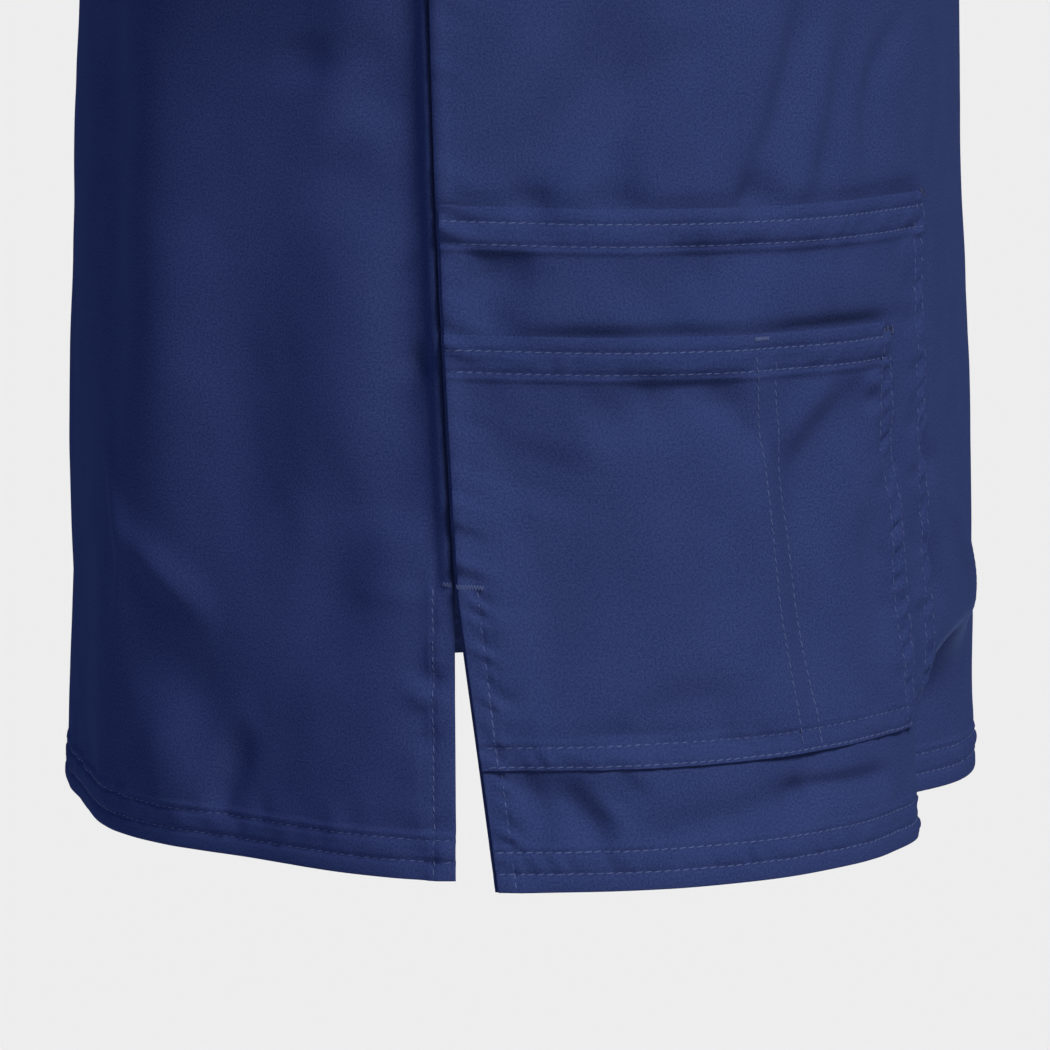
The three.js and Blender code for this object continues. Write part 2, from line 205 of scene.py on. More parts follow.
# Torso below the underarm: points, and signed distance across the panel from its middle
def lowerPoints(face, side, arc, height):
    x, y = sectionPlace(face, arc, height)
    total = sectionTotal(face, height)
    x1, y1 = sectionPlace(face, np.minimum(arc + 0.6, total), height)
    x0, y0 = sectionPlace(face, np.maximum(np.minimum(arc, total) - 0.6, 0), height)
    run = np.stack([x1 - x0, y1 - y0])
    length = np.hypot(*run)
    facingX = np.where(arc >= total - 0.01, 0, faceSign[face] * run[1] / length)
    facingY = -faceSign[face] * run[0] / length
    across = side * (total - arc)
    inward = foldDepth(face, across, height)
    z = height - garment["length"] + 0 * x
    return np.stack([side * (x - facingX * inward), y - facingY * inward, z], axis=-1), across


# The same, lifted off along the surface's normals. lift is a function of arc and height.
def skin(face, side, arc, height, lift):
    arc, height = np.broadcast_arrays(np.asarray(arc, float), np.asarray(height, float))
    points, _ = lowerPoints(face, side, arc, height)
    total = sectionTotal(face, height)
    after, _ = lowerPoints(face, side, np.minimum(arc + 0.8, total), height)
    before, _ = lowerPoints(face, side, np.maximum(arc - 0.8, 0), height)
    above, _ = lowerPoints(face, side, arc, height + 1.5)
    normals = unit(np.cross(after - before, above - points)) * faceSign[face] * side
    return points + normals * lift(arc, height)[..., None], normals


def ridge(x):
    flat = garment["ridgeFlat"]
    return garment["shoulderSlope"] * (math.hypot(garment["neckEnd"], flat) - np.hypot(x, flat))


def fullDrop(x):
    quarter = garment["shoulderRound"] * (math.pi / 2 - 1)
    return ridge(x) + garment["length"] - garment["underarm"] + quarter


# Distance round the cloth from the middle, by share of the half width, both over the half width
acrossOf = {}
for face in ("front", "back"):
    chestX = lattice[face]["places"][int(garment["underarm"] / latticeGap)][0]
    fromMiddle = np.linspace(1, 0, latticeSteps + 1) * sectionTotal(face, garment["underarm"])
    acrossOf[face] = (chestX[::-1] / chestX[0], fromMiddle[::-1] / chestX[0])


# Torso above the underarm, by half width and drop over the cloth from the shoulder ridge
def upperPoints(face, side, x, drop):
    x, drop = np.broadcast_arrays(np.asarray(x, float), np.asarray(drop, float))
    radius = garment["shoulderRound"]
    turn = np.minimum(drop / radius, math.pi / 2)
    z = ridge(x) - radius * (1 - np.cos(turn)) - np.maximum(drop - radius * math.pi / 2, 0)
    height = z + garment["length"]
    power = facePower[face]
    halfWidth = readTable(sections, "height", "halfWidth", height)
    share = np.minimum(x / halfWidth, 1)
    reach = readTable(sections, "height", face, height) * (1 - share**power) ** (1 / power)
    seamY = readTable(sections, "height", "seamY", height)
    y = seamY + faceSign[face] * (reach * np.sin(turn) + garment["seamGap"] / 2)
    across = side * np.interp(share, *acrossOf[face]) * halfWidth
    return np.stack([side * x, y, z], axis=-1), across


def sideEdge(face, height):
    gape = ventGape[face] * np.maximum(1 - height / garment["vent"], 0)
    return garment["seamGap"] / 2 + gape


def neckPlace(face, line, along):
    if face == "front":
        return line["halfWidth"] * along, line["front"] * (1 - along)
    return line["halfWidth"] * np.sin(math.pi / 2 * along), line["back"] * np.cos(math.pi / 2 * along)


# Soft creases, placed one by one. A row has across and height of its start and of its end, then width,
# depth, and where they matter lean and bow. across is signed from the middle of the panel: the right side
# seam is near -280 on the front and -265 on the back. depth is inward, so a ridge has a negative one. lean
# makes one flank narrower or wider than the other: the one above, or on the middle's side of a crease
# that is written downwards. Those on "large" are on the large pocket and the panel behind it, and the one
# on "panel" on the front panel alone. On a sleeve across goes round it from the shoulder seam, positive
# at its front, and height is the distance from the armhole.
creases = {
    "front": [
        (-214, 257, -254, 199, 13, 5.4, 0.62), (-208, 241, -227, 200, 12, 4.4, 0.6, -5),
        (-154, 257, -181, 198, 7, 4.4, 1.5, 2), (-137, 244, -155, 197, 6, 2.9, 1.5, 3),
        (-110, 242, -127, 202, 5, 2.2, 1.5, -6), (-247, 201, -257, 200, 5, 2.7),
        (-219, 200, -234, 201, 4, 2.0), (-171, 199, -185, 200, 5, 3.4),
        (-271, 183, -255, 183, 9, 2.3, 0.4), (-261, 182, -264, 161, 9, 3.4, 1, -3),
        (-211, 183, -179, 183, 13, 3.2, 0.38, -1), (-197, 179, -218, 162, 13, 2.6, 1, 1),
        (-177, 182, -137, 180, 7, 1.2, 0.5), (-224, 145, -194, 144, 10, 3, 0.4),
        (-218, 142, -238, 136, 9, 2.6), (-201, 142, -189, 126, 6, 2.4, 1, 1),
        (-148, 137, -170, 103, 8, 3.2, 1.8, -7), (-178, 146, -171, 46, 7, 4.4, 3),
        (-158, 141, -176, 127, 7, -2.7), (-252, 128, -256, 113, 14, 1.4),
        (-270, 142, -256, 52, 11, 4.6, 2.6, 6), (-237, 44, -203, 53, 10, 2.4, 0.7, 4),
        (-253, 45, -178, 40, 4, 1.7), (-131, 128, -125, 110, 6, 2.0),
        (-141, 100, -135, 63, 9, 2.7), (-268, 34, -260, 18, 5, 3.1),
        (-258, 31, -245, 16, 6, 4.4), (-235, 32, -242, 25, 6, 2.2),
        (-230, 17, -179, 27, 6, 2.2, 1, -3), (-183, 25, -141, 24, 5, 2.8, 0.6),
        (-187, 17, -178, 24, 5, 2.7), (-90, 174, -94, 124, 4, 1.5),
        (-104, 119, -90, 108, 4, 2.7), (-96, 86, -87, 68, 5, 2.7),
        (-74, 97, -28, 59, 6, -2.4), (204, 262, 243, 205, 12, 4.2, 0.7),
        (150, 250, 171, 202, 8, 3.4, 1, -3), (118, 236, 128, 203, 6, 2),
        (262, 178, 214, 182, 9, 2.8), (188, 180, 146, 186, 7, 1.8),
        (232, 128, 200, 96, 14, 3, 1, 4), (148, 142, 136, 84, 11, 2.4, 1, -4),
        (262, 74, 236, 42, 10, 2.6), (214, 30, 160, 24, 6, 2.2, 1, 3),
        (-22, 356, -58, 276, 16, 3, 1, 8), (52, 352, 88, 240, 18, 3.6, 1, -7),
        (12, 190, 34, 70, 15, 2.6, 1, 6), (-246, 424, -168, 452, 10, 4, 1, 3),
        (-232, 398, -150, 404, 12, 3.6, 1, -5), (240, 430, 176, 468, 9, 3.8, 1, -4),
        (226, 392, 158, 372, 13, 3.6, 1, 4), (-196, 356, -132, 300, 15, 3, 1, -6),
        (188, 338, 140, 296, 14, 2.8, 1, 4), (-142, 590, -108, 500, 13, 3.2, 1, 5),
        (150, 582, 122, 486, 15, 3, 1, -6), (-34, 416, -92, 480, 9, 2.2),
    ],
    "panel": [
        (-278, 199.4, -98, 194, 2.2, 1.4),
    ],
    "large": [
        (-252, 160.9, -193, 159.5, 2.6, 1.9), (-180, 159.3, -124, 157.6, 2.8, 2.2),
    ],
    "back": [
        (-130, 111, -139, 68, 5, -2.0, 1, -8), (-144, 95, -177, 75, 6, -2.5),
        (-151, 63, -183, 47, 13, 2.8), (-159, 37, -174, 17, 13, -2.0),
        (-195, 38, -186, 17, 6, 2.8), (-237, 121, -228, 67, 15, 4.2),
        (-211, 244, -213, 233, 14, 2.2), (-235, 247, -238, 222, 8, 2.5),
        (-225, 212, -242, 195, 13, 2.5), (-252, 106, -252, 85, 12, -2.5),
        (-255, 157, -259, 149, 5, 2.5), (-258, 63, -270, 61, 3, 1.4),
        (-258, 58, -271, 55, 3, -1.4), (-166, 183, -172, 131, 16, -1.7),
        (-187, 158, -201, 91, 18, 2.0), (-156, 262, -160, 100, 17, -3.1),
        (-118, 262, -126, 120, 22, 3.4), (-247, 262, -252, 100, 9, 2.7),
        (-229, 268, -234, 236, 13, -2.0), (-238, 436, -172, 402, 11, 4, 1, 4),
        (228, 440, 160, 396, 12, 3.8, 1, -4), (-62, 420, -78, 282, 22, 4, 1, 6),
        (40, 400, 66, 90, 26, 4.6, 1, -8), (126, 372, 150, 96, 19, 3.6, 1, 5),
        (-20, 250, -8, 60, 16, -2.6), (206, 262, 236, 190, 12, 3),
        (-96, 600, -128, 520, 14, 3), (104, 596, 140, 500, 13, 3.2),
    ],
    "sleeve": [
        (95, 8, 62, 92, 9, 3.2, 1, 3), (130, 10, 112, 74, 8, 2.8),
        (28, 58, 50, 150, 12, 2.2, 1, -4), (-104, 12, -74, 104, 9, 3, 1, -3),
        (-142, 14, -150, 84, 8, 2.6), (-30, 66, -58, 148, 12, 2, 1, 4),
    ],
}
# The share of a crease's length on which its ends fade in
creaseEnds = {"panel": 0.02, "other": 0.3}


def oneCrease(across, height, soft, s0, h0, s1, h1, width, depth, lean=1, bow=0):
    length = math.hypot(s1 - s0, h1 - h0)
    us, uh = (s1 - s0) / length, (h1 - h0) / length
    along = ((across - s0) * us + (height - h0) * uh) / length
    off = (height - h0) * us - (across - s0) * uh
    off = off - bow * 4 * along * (1 - along)
    ends = smooth((along + soft) / (2 * soft)) * smooth((1 + soft - along) / (2 * soft))
    return depth * bell(off, np.where(off > 0, width * lean, width)) * ends


def creaseDepth(on, across, height):
    depth = np.zeros(np.broadcast(across, height).shape)
    for crease in creases.get(on, []):
        depth = depth + oneCrease(across, height, creaseEnds.get(on, creaseEnds["other"]), *crease)
    return depth


# Gentle unevenness of hanging cloth, in three sizes, and its creases. A size has the step of its noise
# across and up, its slant and its depth.
drapeStyle = {
    "seeds": {"front": 11, "back": 12},
    "sizes": [
        {"seed": 0, "step": (44, 120), "slant": 0, "depth": 1.3},
        {"seed": 5, "step": (19, 40), "slant": 0.25, "depth": 0.55},
        {"seed": 9, "step": (8, 15), "slant": -0.3, "depth": 0.12},
    ],
}


def drape(face, across, height):
    seed = drapeStyle["seeds"][face]
    lift = 0
    for size in drapeStyle["sizes"]:
        noise = wobble(seed + size["seed"], across + size["slant"] * height, height, *size["step"])
        lift = lift + noise * size["depth"]
    return lift - creaseDepth(face, across, height)


# How cloth lies near an edge with rows of sewing at given distances: folded under and so thicker up
# to depth, pulled in along the rows by sink, puckered between them and beyond in steps of step.
hemStyle = {"depth": 13.6, "rows": (5.3, 11.6), "raise": 0.6, "sink": 0.65, "pucker": 0.7, "step": 3}
ventStyle = {"depth": 8.2, "rows": (6.5,), "raise": 0.4, "sink": 0.5, "pucker": 1.1, "step": 2.8}
pocketTop = {"depth": 13.2, "rows": (4.5, 10.9), "raise": 0.7, "sink": 0.6, "pucker": 0.6, "step": 3.2}
pocketSide = {"depth": 9.2, "rows": (1.5, 7.8), "raise": 0.4, "sink": 0.5, "pucker": 1.25, "step": 2.6}
pocketFoot = {"depth": 8.6, "rows": (0.9, 6.6), "raise": 0.4, "sink": 0.55, "pucker": 0.65, "step": 2.8}


rowWidth = 0.8


def sewnStrip(seed, along, distance, style):
    inside = smooth((style["depth"] + 0.7 - distance) / 1.4)
    rows = sum(bell(distance - row, rowWidth) for row in style["rows"])
    first, last = style["rows"][0], style["rows"][-1]
    middle = bell(distance - (first + last) / 2, 3.6)
    beyond = bell(distance - last - 4, 4.5)
    slanted = along + 0.5 * distance
    beads = wobble(seed, slanted, distance, style["step"], 7) * middle * style["pucker"]
    pulls = wobble(seed + 1, along, distance, 2 * style["step"], 14) * beyond * style["pucker"] * 0.9
    return inside * style["raise"] - rows * style["sink"] + beads + pulls - 0.25 * bell(distance, 0.7)


# The side seam: both edges roll in, the front has a ridge beside it, and the back a hollow. Its puckers
# are stronger under looseAt. The hollow is full from 6 mm on, and gone 34 mm further.
seamStyle = {
    "seeds": {"front": 31, "back": 35}, "roll": 0.9, "ridge": 0.35, "ridgeAt": 3, "ridgeWidth": 1.6,
    "hollow": 2.7, "uneven": 0.9, "falls": (1.6, 4.6), "rises": (6, 34),
    "pucker": 0.4, "lowerPucker": 0.7, "backPucker": 0.3, "puckerWidth": 9,
    "looseAt": 330, "step": (26, 4.2), "slant": 0.35,
}
ventSeeds = {"front": 41, "back": 45}


def seamLift(face, side, arc, height):
    style = seamStyle
    closed = smooth((height - garment["vent"] + 2) / 6)
    seed = style["seeds"][face] + side
    strength = style["pucker"] + style["lowerPucker"] * smooth((style["looseAt"] - height) / 120)
    ripples = wobble(seed, arc, height + style["slant"] * arc, *style["step"])
    ripples = ripples * bell(arc - style["ridgeAt"], style["puckerWidth"]) * strength
    if face == "front":
        shape = style["ridge"] * bell(arc - style["ridgeAt"], style["ridgeWidth"]) + ripples
    else:
        (fallsAt, fall), (risesAt, rise) = style["falls"], style["rises"]
        depth = style["hollow"] + style["uneven"] * wobble(seed + 2, arc, height, 60, 34)
        shape = -depth * smooth((arc - fallsAt) / fall) * (1 - smooth((arc - risesAt) / rise))
        shape = shape + ripples * style["backPucker"]
    return closed * (shape - style["roll"] * bell(arc, 0.8))


def ventLift(face, side, arc, height):
    seed = ventSeeds[face] + side
    opened = 1 - smooth((height - garment["vent"] - 2) / 5)
    return opened * sewnStrip(seed, height, arc - sideEdge(face, height), ventStyle)


hemSeeds = {"front": 51, "back": 53}
# Creases and unevenness fade out towards the side seam, which holds the cloth
heldAtSeam = {"past": 2, "over": 11}


def fadeAtSeam(arc):
    return smooth((arc + heldAtSeam["past"]) / heldAtSeam["over"])


def panelLift(face, side):
    def lift(arc, height):
        across = side * (sectionTotal(face, height) - arc)
        fromHem = height - (0 if face == "front" else garment["backRise"])
        sewn = sewnStrip(hemSeeds[face], across, fromHem, hemStyle)
        edges = seamLift(face, side, arc, height) + ventLift(face, side, arc, height)
        marks = creaseDepth("panel", across, height) + creaseDepth("large", across, height)
        loose = drape(face, across, height) - marks * (face == "front")
        return loose * fadeAtSeam(arc) + sewn + edges
    return lift


# over is how far a pocket lies above the panel's surface
largePocket = {
    "name": "large", "width": 184, "taper": 0, "topAtSeam": 199, "topInside": 193.5,
    "over": 1.3, "wall": 1,
}
smallPocket = {
    "name": "small", "width": 163.5, "taper": 9.5, "bottom": 35.5, "topAtSeam": 162, "topInside": 157,
    "over": 2.6, "wall": 1,
}
# How far the mouths of the pockets stand off the cloth behind them, by distance from the side seam
mouths = {
    "large": {"arcs": (0, 8, 40, 90, 130, 172, 184), "off": (0, 0.2, 1.4, 0.6, 1.5, 0.8, 0)},
    "small": {
        "arcs": (0, 8, 30, 62, 85, 98, 125, 146, 155),
        "off": (0, 0.3, 1.6, 3.4, 3.2, 0.9, 3.6, 2.6, 0.4),
    },
}


def pocketWidth(style, height):
    bottom, top = smallPocket["bottom"], smallPocket["topAtSeam"]
    t = np.clip((height - bottom) / (top - bottom), 0, 1)
    return style["width"] - style["taper"] * t**2


def pocketMouth(style, arc):
    slide = np.minimum(arc / largePocket["width"], 1)
    return style["topAtSeam"] + (style["topInside"] - style["topAtSeam"]) * slide


def pocketLift(style, side):
    name = style["name"]
    seed = 61 if name == "small" else 75 + side
    mouth = mouths[name]

    def lift(arc, height):
        across = side * (sectionTotal("front", height) - arc)
        fromTop = pocketMouth(style, arc) - height
        fromSide = pocketWidth(style, height) - arc
        gape = np.interp(arc, mouth["arcs"], mouth["off"]) * bell(fromTop, 15)
        own = wobble(seed + 4, across + 0.3 * height, height, 24, 36) * 0.5
        sewn = sewnStrip(seed, arc, fromTop, pocketTop)
        sewn = sewn + sewnStrip(seed + 10, height, fromSide, pocketSide)
        if "bottom" in style:
            sewn = sewn + sewnStrip(seed + 20, arc, height - style["bottom"], pocketFoot)
        else:
            sewn = sewn + sewnStrip(hemSeeds["front"], across, height, hemStyle)
        inner = smooth((np.minimum(fromSide, fromTop) - 6) / 20) * smooth((height - 14) / 20)
        edges = seamLift("front", side, arc, height) + ventLift("front", side, arc, height)
        marks = creaseDepth(name, across, height)
        loose = (drape("front", across, height) - marks) * fadeAtSeam(arc)
        return loose + style["over"] + gape + sewn + own * inner + edges
    return lift


# Outward normals of a grid of points, turned the way of outward
def gridNormals(points, outward):
    normals = unit(np.cross(np.gradient(points, axis=1), np.gradient(points, axis=0)))
    return normals if np.sum(normals * outward) > 0 else -normals


def measureRows(points):
    steps = np.linalg.norm(np.diff(points, axis=1), axis=-1)
    return np.concatenate([np.zeros((len(points), 1)), np.cumsum(steps, axis=1)], axis=1)


# A cloth piece from grids of points, with the cloth's own coordinates as its UV, and a wall
clothEdge = {"width": 0.3, "segments": 2, "sharperThan": 55, "joinedWithin": 0.02}


def clothObject(name, grids, wall):
    bm = bmesh.new()
    uvLayer = bm.loops.layers.uv.new("cloth")
    for points, cloth, normals in grids:
        rows, columns = points.shape[:2]
        made = bmesh.ops.create_grid(bm, x_segments=columns - 1, y_segments=rows - 1, size=1)
        index = {}
        for vert in made["verts"]:
            column = round((vert.co.x + 1) / 2 * (columns - 1))
            row = round((vert.co.y + 1) / 2 * (rows - 1))
            index[vert] = (row, column)
        faces = {face for vert in made["verts"] for face in vert.link_faces}
        for face in faces:
            face.smooth = True
            for loop in face.loops:
                loop[uvLayer].uv = cloth[index[loop.vert]] * mm
        for vert in made["verts"]:
            vert.co = points[index[vert]] * mm
        middle = made["verts"][len(made["verts"]) // 2].link_faces[0]
        middle.normal_update()
        if middle.normal.dot(Vector(normals[index[middle.verts[0]]])) < 0:
            bmesh.ops.reverse_faces(bm, faces=list(faces))
    bmesh.ops.remove_doubles(bm, verts=bm.verts, dist=clothEdge["joinedWithin"] * mm)
    mesh = meshFrom(bm, name)
    piece = addObject(name, mesh)
    wallModifier = piece.modifiers.new("wall", "SOLIDIFY")
    wallModifier.thickness = wall * mm
    wallModifier.offset = -1
    edgeModifier = piece.modifiers.new("edge", "BEVEL")
    edgeModifier.width = clothEdge["width"] * mm
    edgeModifier.segments = clothEdge["segments"]
    edgeModifier.limit_method = "ANGLE"
    edgeModifier.angle_limit = math.radians(clothEdge["sharperThan"])
    flat = np.ptp(np.concatenate([cloth.reshape(-1, 2) for _, cloth, _ in grids]), axis=0)
    area = round(sum(face.area for face in mesh.polygons), 4)
    print(name, len(mesh.polygons), "faces,", area, "m2, flat", flat)
    return piece


# Rows of stitches, kept as lists of place, direction and normal until their pieces are made
stitches = {}
stitch = {
    "pitch": 2.85, "length": 2.35, "width": 0.43, "thick": 0.4, "slant": 9, "sunk": 0.02,
    "slantVaries": 3, "lengthVaries": 0.06,
}
tack = {"pitch": 0.42, "lean": 0.22, "raised": 0.1}


def sew(name, points, normals):
    steps = np.concatenate([[0], np.cumsum(np.linalg.norm(np.diff(points, axis=0), axis=1))])
    count = int(steps[-1] / stitch["pitch"])
    if count < 1:
        return
    rng = np.random.default_rng(len(stitches.get(name, [])) + 17)
    at = (np.arange(count) + 0.5) * steps[-1] / count
    for centre, jitter in zip(at, rng.uniform(-1, 1, (count, 2))):
        ends = [
            np.array([np.interp(centre + shift, steps, points[:, axis]) for axis in range(3)])
            for shift in (-0.4 * stitch["length"], 0.4 * stitch["length"])
        ]
        normal = unit(np.array([np.interp(centre, steps, normals[:, axis]) for axis in range(3)]))
        direction = unit(ends[1] - ends[0])
        slant = math.radians(stitch["slant"] + stitch["slantVaries"] * jitter[0])
        direction = unit(direction * math.cos(slant) + np.cross(normal, direction) * math.sin(slant))
        place = (ends[0] + ends[1]) / 2 + normal * stitch["sunk"]
        stretch = 1 + stitch["lengthVaries"] * jitter[1]
        stitches.setdefault(name, []).append((place, direction, normal, stretch))


def sewOnSkin(name, face, side, lift, arcs, heights):
    stops = np.linspace(0, 1, len(arcs))
    length = np.sum(np.hypot(np.diff(arcs), np.diff(heights)))
    at = np.linspace(0, 1, int(length / 1.2) + 2)
    points, normals = skin(face, side, np.interp(at, stops, arcs), np.interp(at, stops, heights), lift)
    sew(name, points, normals)


# A bar of tight stitches across a line on the skin. Most of those at pocket corners get a very dark
# thread, painted shade for the hollow behind the corner.
cornerNames = ["barTacks", "cornerShadeTacks", "cornerShadeTacks", "cornerShadeTacks"]


def tackOnSkin(names, face, side, lift, start, end, width):
    count = int(math.hypot(end[0] - start[0], end[1] - start[1]) / tack["pitch"])
    at = (np.arange(count) + 0.5) / count
    arcs = start[0] + (end[0] - start[0]) * at
    heights = start[1] + (end[1] - start[1]) * at
    points, normals = skin(face, side, arcs, heights, lift)
    along = unit(points[-1] - points[0])
    for k in range(count):
        lean = tack["lean"] if k % 2 else -tack["lean"]
        direction = unit(np.cross(normals[k], along) + along * lean)
        place = points[k] + normals[k] * tack["raised"]
        name = names[k % len(names)]
        stitches.setdefault(name, []).append((place, direction, normals[k], width / stitch["length"]))


# One stitch, repeated at every place
bm = bmesh.new()
bmesh.ops.create_uvsphere(bm, u_segments=6, v_segments=5, radius=1)
stitchMesh = meshFrom(bm, "stitch")


def stitchObject(name):
    corners = np.array([vert.co for vert in stitchMesh.vertices])
    loops = np.array([loop.vertex_index for loop in stitchMesh.loops])
    starts = np.array([face.loop_start for face in stitchMesh.polygons])
    places, directions, normals, stretches = (np.array(values, float) for values in zip(*stitches[name]))
    sideways = np.cross(normals, directions)
    upward = np.cross(directions, sideways)
    halves = np.stack([
        sideways * stitch["width"] / 2,
        upward * stitch["thick"] / 2,
        directions * (stitch["length"] / 2 * stretches)[:, None],
    ], axis=1)
    points = (places[:, None] + np.einsum("vk,nkx->nvx", corners, halves)) * mm
    count = np.arange(len(places))[:, None]
    mesh = bpy.data.meshes.new(name)
    mesh.vertices.add(points.size // 3)
    mesh.vertices.foreach_set("co", points.ravel())
    mesh.loops.add(loops.size * len(places))
    mesh.loops.foreach_set("vertex_index", (loops + count * len(corners)).ravel())
    mesh.polygons.add(starts.size * len(places))
    mesh.polygons.foreach_set("loop_start", (starts + count * len(loops)).ravel())
    mesh.shade_smooth()
    mesh.update(calc_edges=True)
    return addObject(name, mesh)


panels = {
    "front": {"beside": 8, "beyond": ([0, 0.97, 1], [40, 5])},
    "back": {"beside": 34, "beyond": ([0, 0.9, 1], [18, 6])},
    "heights": ([0, 16, 60, 262, 420], [20, 18, 78, 32]),
    "columns": {-1: ([0, 12, 262, 268], [13, 94, 3]), 1: ([0, 12, 262, 268], [10, 52, 3])},
}


# Where rows of sewing and edges of allowances lie beside the armhole and the neck, and how the edges roll
armhole = {"row": 6, "sink": 0.3, "allowance": 8.5, "raise": 0.25, "roll": 1.0}
neckSeam = {"row": 2.6, "sink": 0.25, "roll": 0.7}
shoulderRoll = 0.7
rollWidth = 1.3


# Rises of rows from the underarm up, and where they end at the neck. Those beside the neck opening's
# lowest point are evenly spaced, and end in the middle.
def risesOfRows(face, beside, along):
    x, drop = neckPlace(face, neckEdge, along)
    rises = 1 - drop / fullDrop(x)
    low = np.linspace(0, rises[0], beside + 1)[:-1]
    return np.concatenate([low, rises]), np.concatenate([0 * low, x])


# Points at a distance along the rows of a grid
def acrossRows(grid, measured, distance):
    return np.array([
        [np.interp(distance, measured[row], grid[row, :, axis]) for axis in range(3)]
        for row in range(len(grid))
    ])


def halfPanel(face, side):
    heights = spread(*panels["heights"])
    if face == "back":
        heights = heights + garment["backRise"] * (1 - heights / garment["underarm"])
    stops, counts = panels["columns"][side]
    shares = spread(stops, counts) / stops[-1]
    edges = sideEdge(face, heights)[:, None]
    arcs = edges + (sectionTotal(face, heights)[:, None] - edges) * shares
    rows = heights[:, None] + 0 * arcs
    points, across = lowerPoints(face, side, arcs, rows)
    lift = panelLift(face, side)(arcs, rows)
    rises, necks = risesOfRows(face, panels[face]["beside"], spread(*panels[face]["beyond"]))
    rises, necks = rises[1:], necks[1:]
    base = np.abs(points[-1, :, 0]) / np.abs(points[-1, 0, 0])
    blend = smooth(rises / 0.6)[:, None]
    share = base * (1 - blend) + (1 - shares) * blend
    edge = readTable(armholeRows, "rise", "halfWidth", rises)[:, None]
    x = necks[:, None] + (edge - necks[:, None]) * share
    fromShoulder = (1 - rises)[:, None] * fullDrop(x)
    above, aboveAcross = upperPoints(face, side, x, fromShoulder)
    level = above[..., 2] + garment["length"]
    fromSide = measureRows(above)
    fromNeck = fromSide[:, -1:] - fromSide
    atNeck = (necks > 0)[:, None]
    held = smooth((fromSide + 2) / 18) * np.where(atNeck, smooth(fromNeck / 18), 1)
    aboveLift = drape(face, aboveAcross, level) * held * (0.25 + 0.75 * smooth(fromShoulder / 60))
    aboveLift = aboveLift - armhole["roll"] * bell(fromSide, rollWidth)
    aboveLift = aboveLift - shoulderRoll * bell(fromShoulder, rollWidth)
    aboveLift = aboveLift - armhole["sink"] * bell(fromSide - armhole["row"], rowWidth)
    aboveLift = aboveLift + armhole["raise"] * smooth((armhole["allowance"] - fromSide) / 1.5)
    neckRoll = neckSeam["roll"] * bell(fromNeck, rollWidth)
    neckSink = neckSeam["sink"] * bell(fromNeck - neckSeam["row"], rowWidth)
    aboveLift = aboveLift - atNeck * (neckRoll + neckSink)
    points = np.concatenate([points, above])
    return {
        "points": points,
        "normals": gridNormals(points, points - torsoCentre),
        "lift": np.concatenate([lift, aboveLift]),
        "cloth": np.stack(
            [np.concatenate([across, aboveAcross]), np.concatenate([rows, level])], axis=-1),
        "joined": len(heights) + panels[face]["beside"],
        "below": len(heights),
        "fromSide": fromSide,
        "fromNeck": fromNeck,
    }


def panelObject(name, face):
    halves = {side: halfPanel(face, side) for side in (-1, 1)}
    joined = halves[1]["joined"]
    middle = unit(halves[-1]["normals"][:joined, -1] + halves[1]["normals"][:joined, -1])
    for half in halves.values():
        half["normals"][:joined, -1] = middle
        half["points"] = half["points"] + half["normals"] * half["lift"][..., None]
    grids = [(half["points"], half["cloth"], half["normals"]) for half in halves.values()]
    return clothObject(name, grids, garment["wall"]), halves


# columns and rows are those of the side seam's or bottom edge, of the middle, and of the far edge
pocketEdges = {"seam": 10, "inside": 11, "bottom": 14, "top": 16}


def pocketObject(name, style, side, columns, rows):
    bottom = style.get("bottom", 0)
    width, span = style["width"], style["topInside"] - bottom
    shareAcross = spread([0, pocketEdges["seam"], width - pocketEdges["inside"], width], columns) / width
    shareUp = spread([0, pocketEdges["bottom"], span - pocketEdges["top"], span], rows) / span
    arcs = np.zeros((len(shareUp), len(shareAcross)))
    heights = arcs + bottom
    for _ in range(3):
        start = sideEdge("front", heights) + 1
        arcs = start + (pocketWidth(style, heights) - start) * shareAcross
        heights = bottom + (pocketMouth(style, arcs) - bottom) * shareUp[:, None]
    points, normals = skin("front", side, arcs, heights, pocketLift(style, side))
    across = side * (sectionTotal("front", heights) - arcs)
    return clothObject(name, [(points, np.stack([across, heights], axis=-1), normals)], style["wall"])


front, frontHalves = panelObject("frontCloth", "front")
back, backHalves = panelObject("backCloth", "back")
rightPocket = pocketObject("rightPocketCloth", largePocket, -1, [10, 116, 12], [16, 130, 22])
smallPocketCloth = pocketObject("smallPocketCloth", smallPocket, -1, [10, 110, 12], [16, 92, 22])
leftPocket = pocketObject("leftPocketCloth", largePocket, 1, [6, 50, 8], [12, 50, 14])
print("panels and pockets made")


# Sleeves. coarse is the number of armhole points on each panel that the sleeve's curves start from,
# and fine the number of columns for each of them. tucked has the distance inside the panel's edge and
# under it of the rows of the seam allowance.
sleeveStyle = {
    "outer": (310, 2, -228), "inner": (212, 2, -318), "halfDepth": 56, "start": (0.93, 0, -0.36),
    "coarse": {"front": (2, 9), "back": (6, 6)}, "fine": 5, "inset": 4,
    "fromHem": ([0, 16, 30], [20, 8]), "above": 34, "tucked": ((0, 1.9), (4, 1.9)), "roll": 0.9,
    "wide": (24, 90, 1.1), "small": (9, 26, 0.3), "gathers": (6, 30, 0.5),
}


def armholePoint(face, side, rise, inset=0):
    x = readTable(armholeRows, "rise", "halfWidth", rise) - inset
    return upperPoints(face, side, x, (1 - rise) * fullDrop(x))[0]


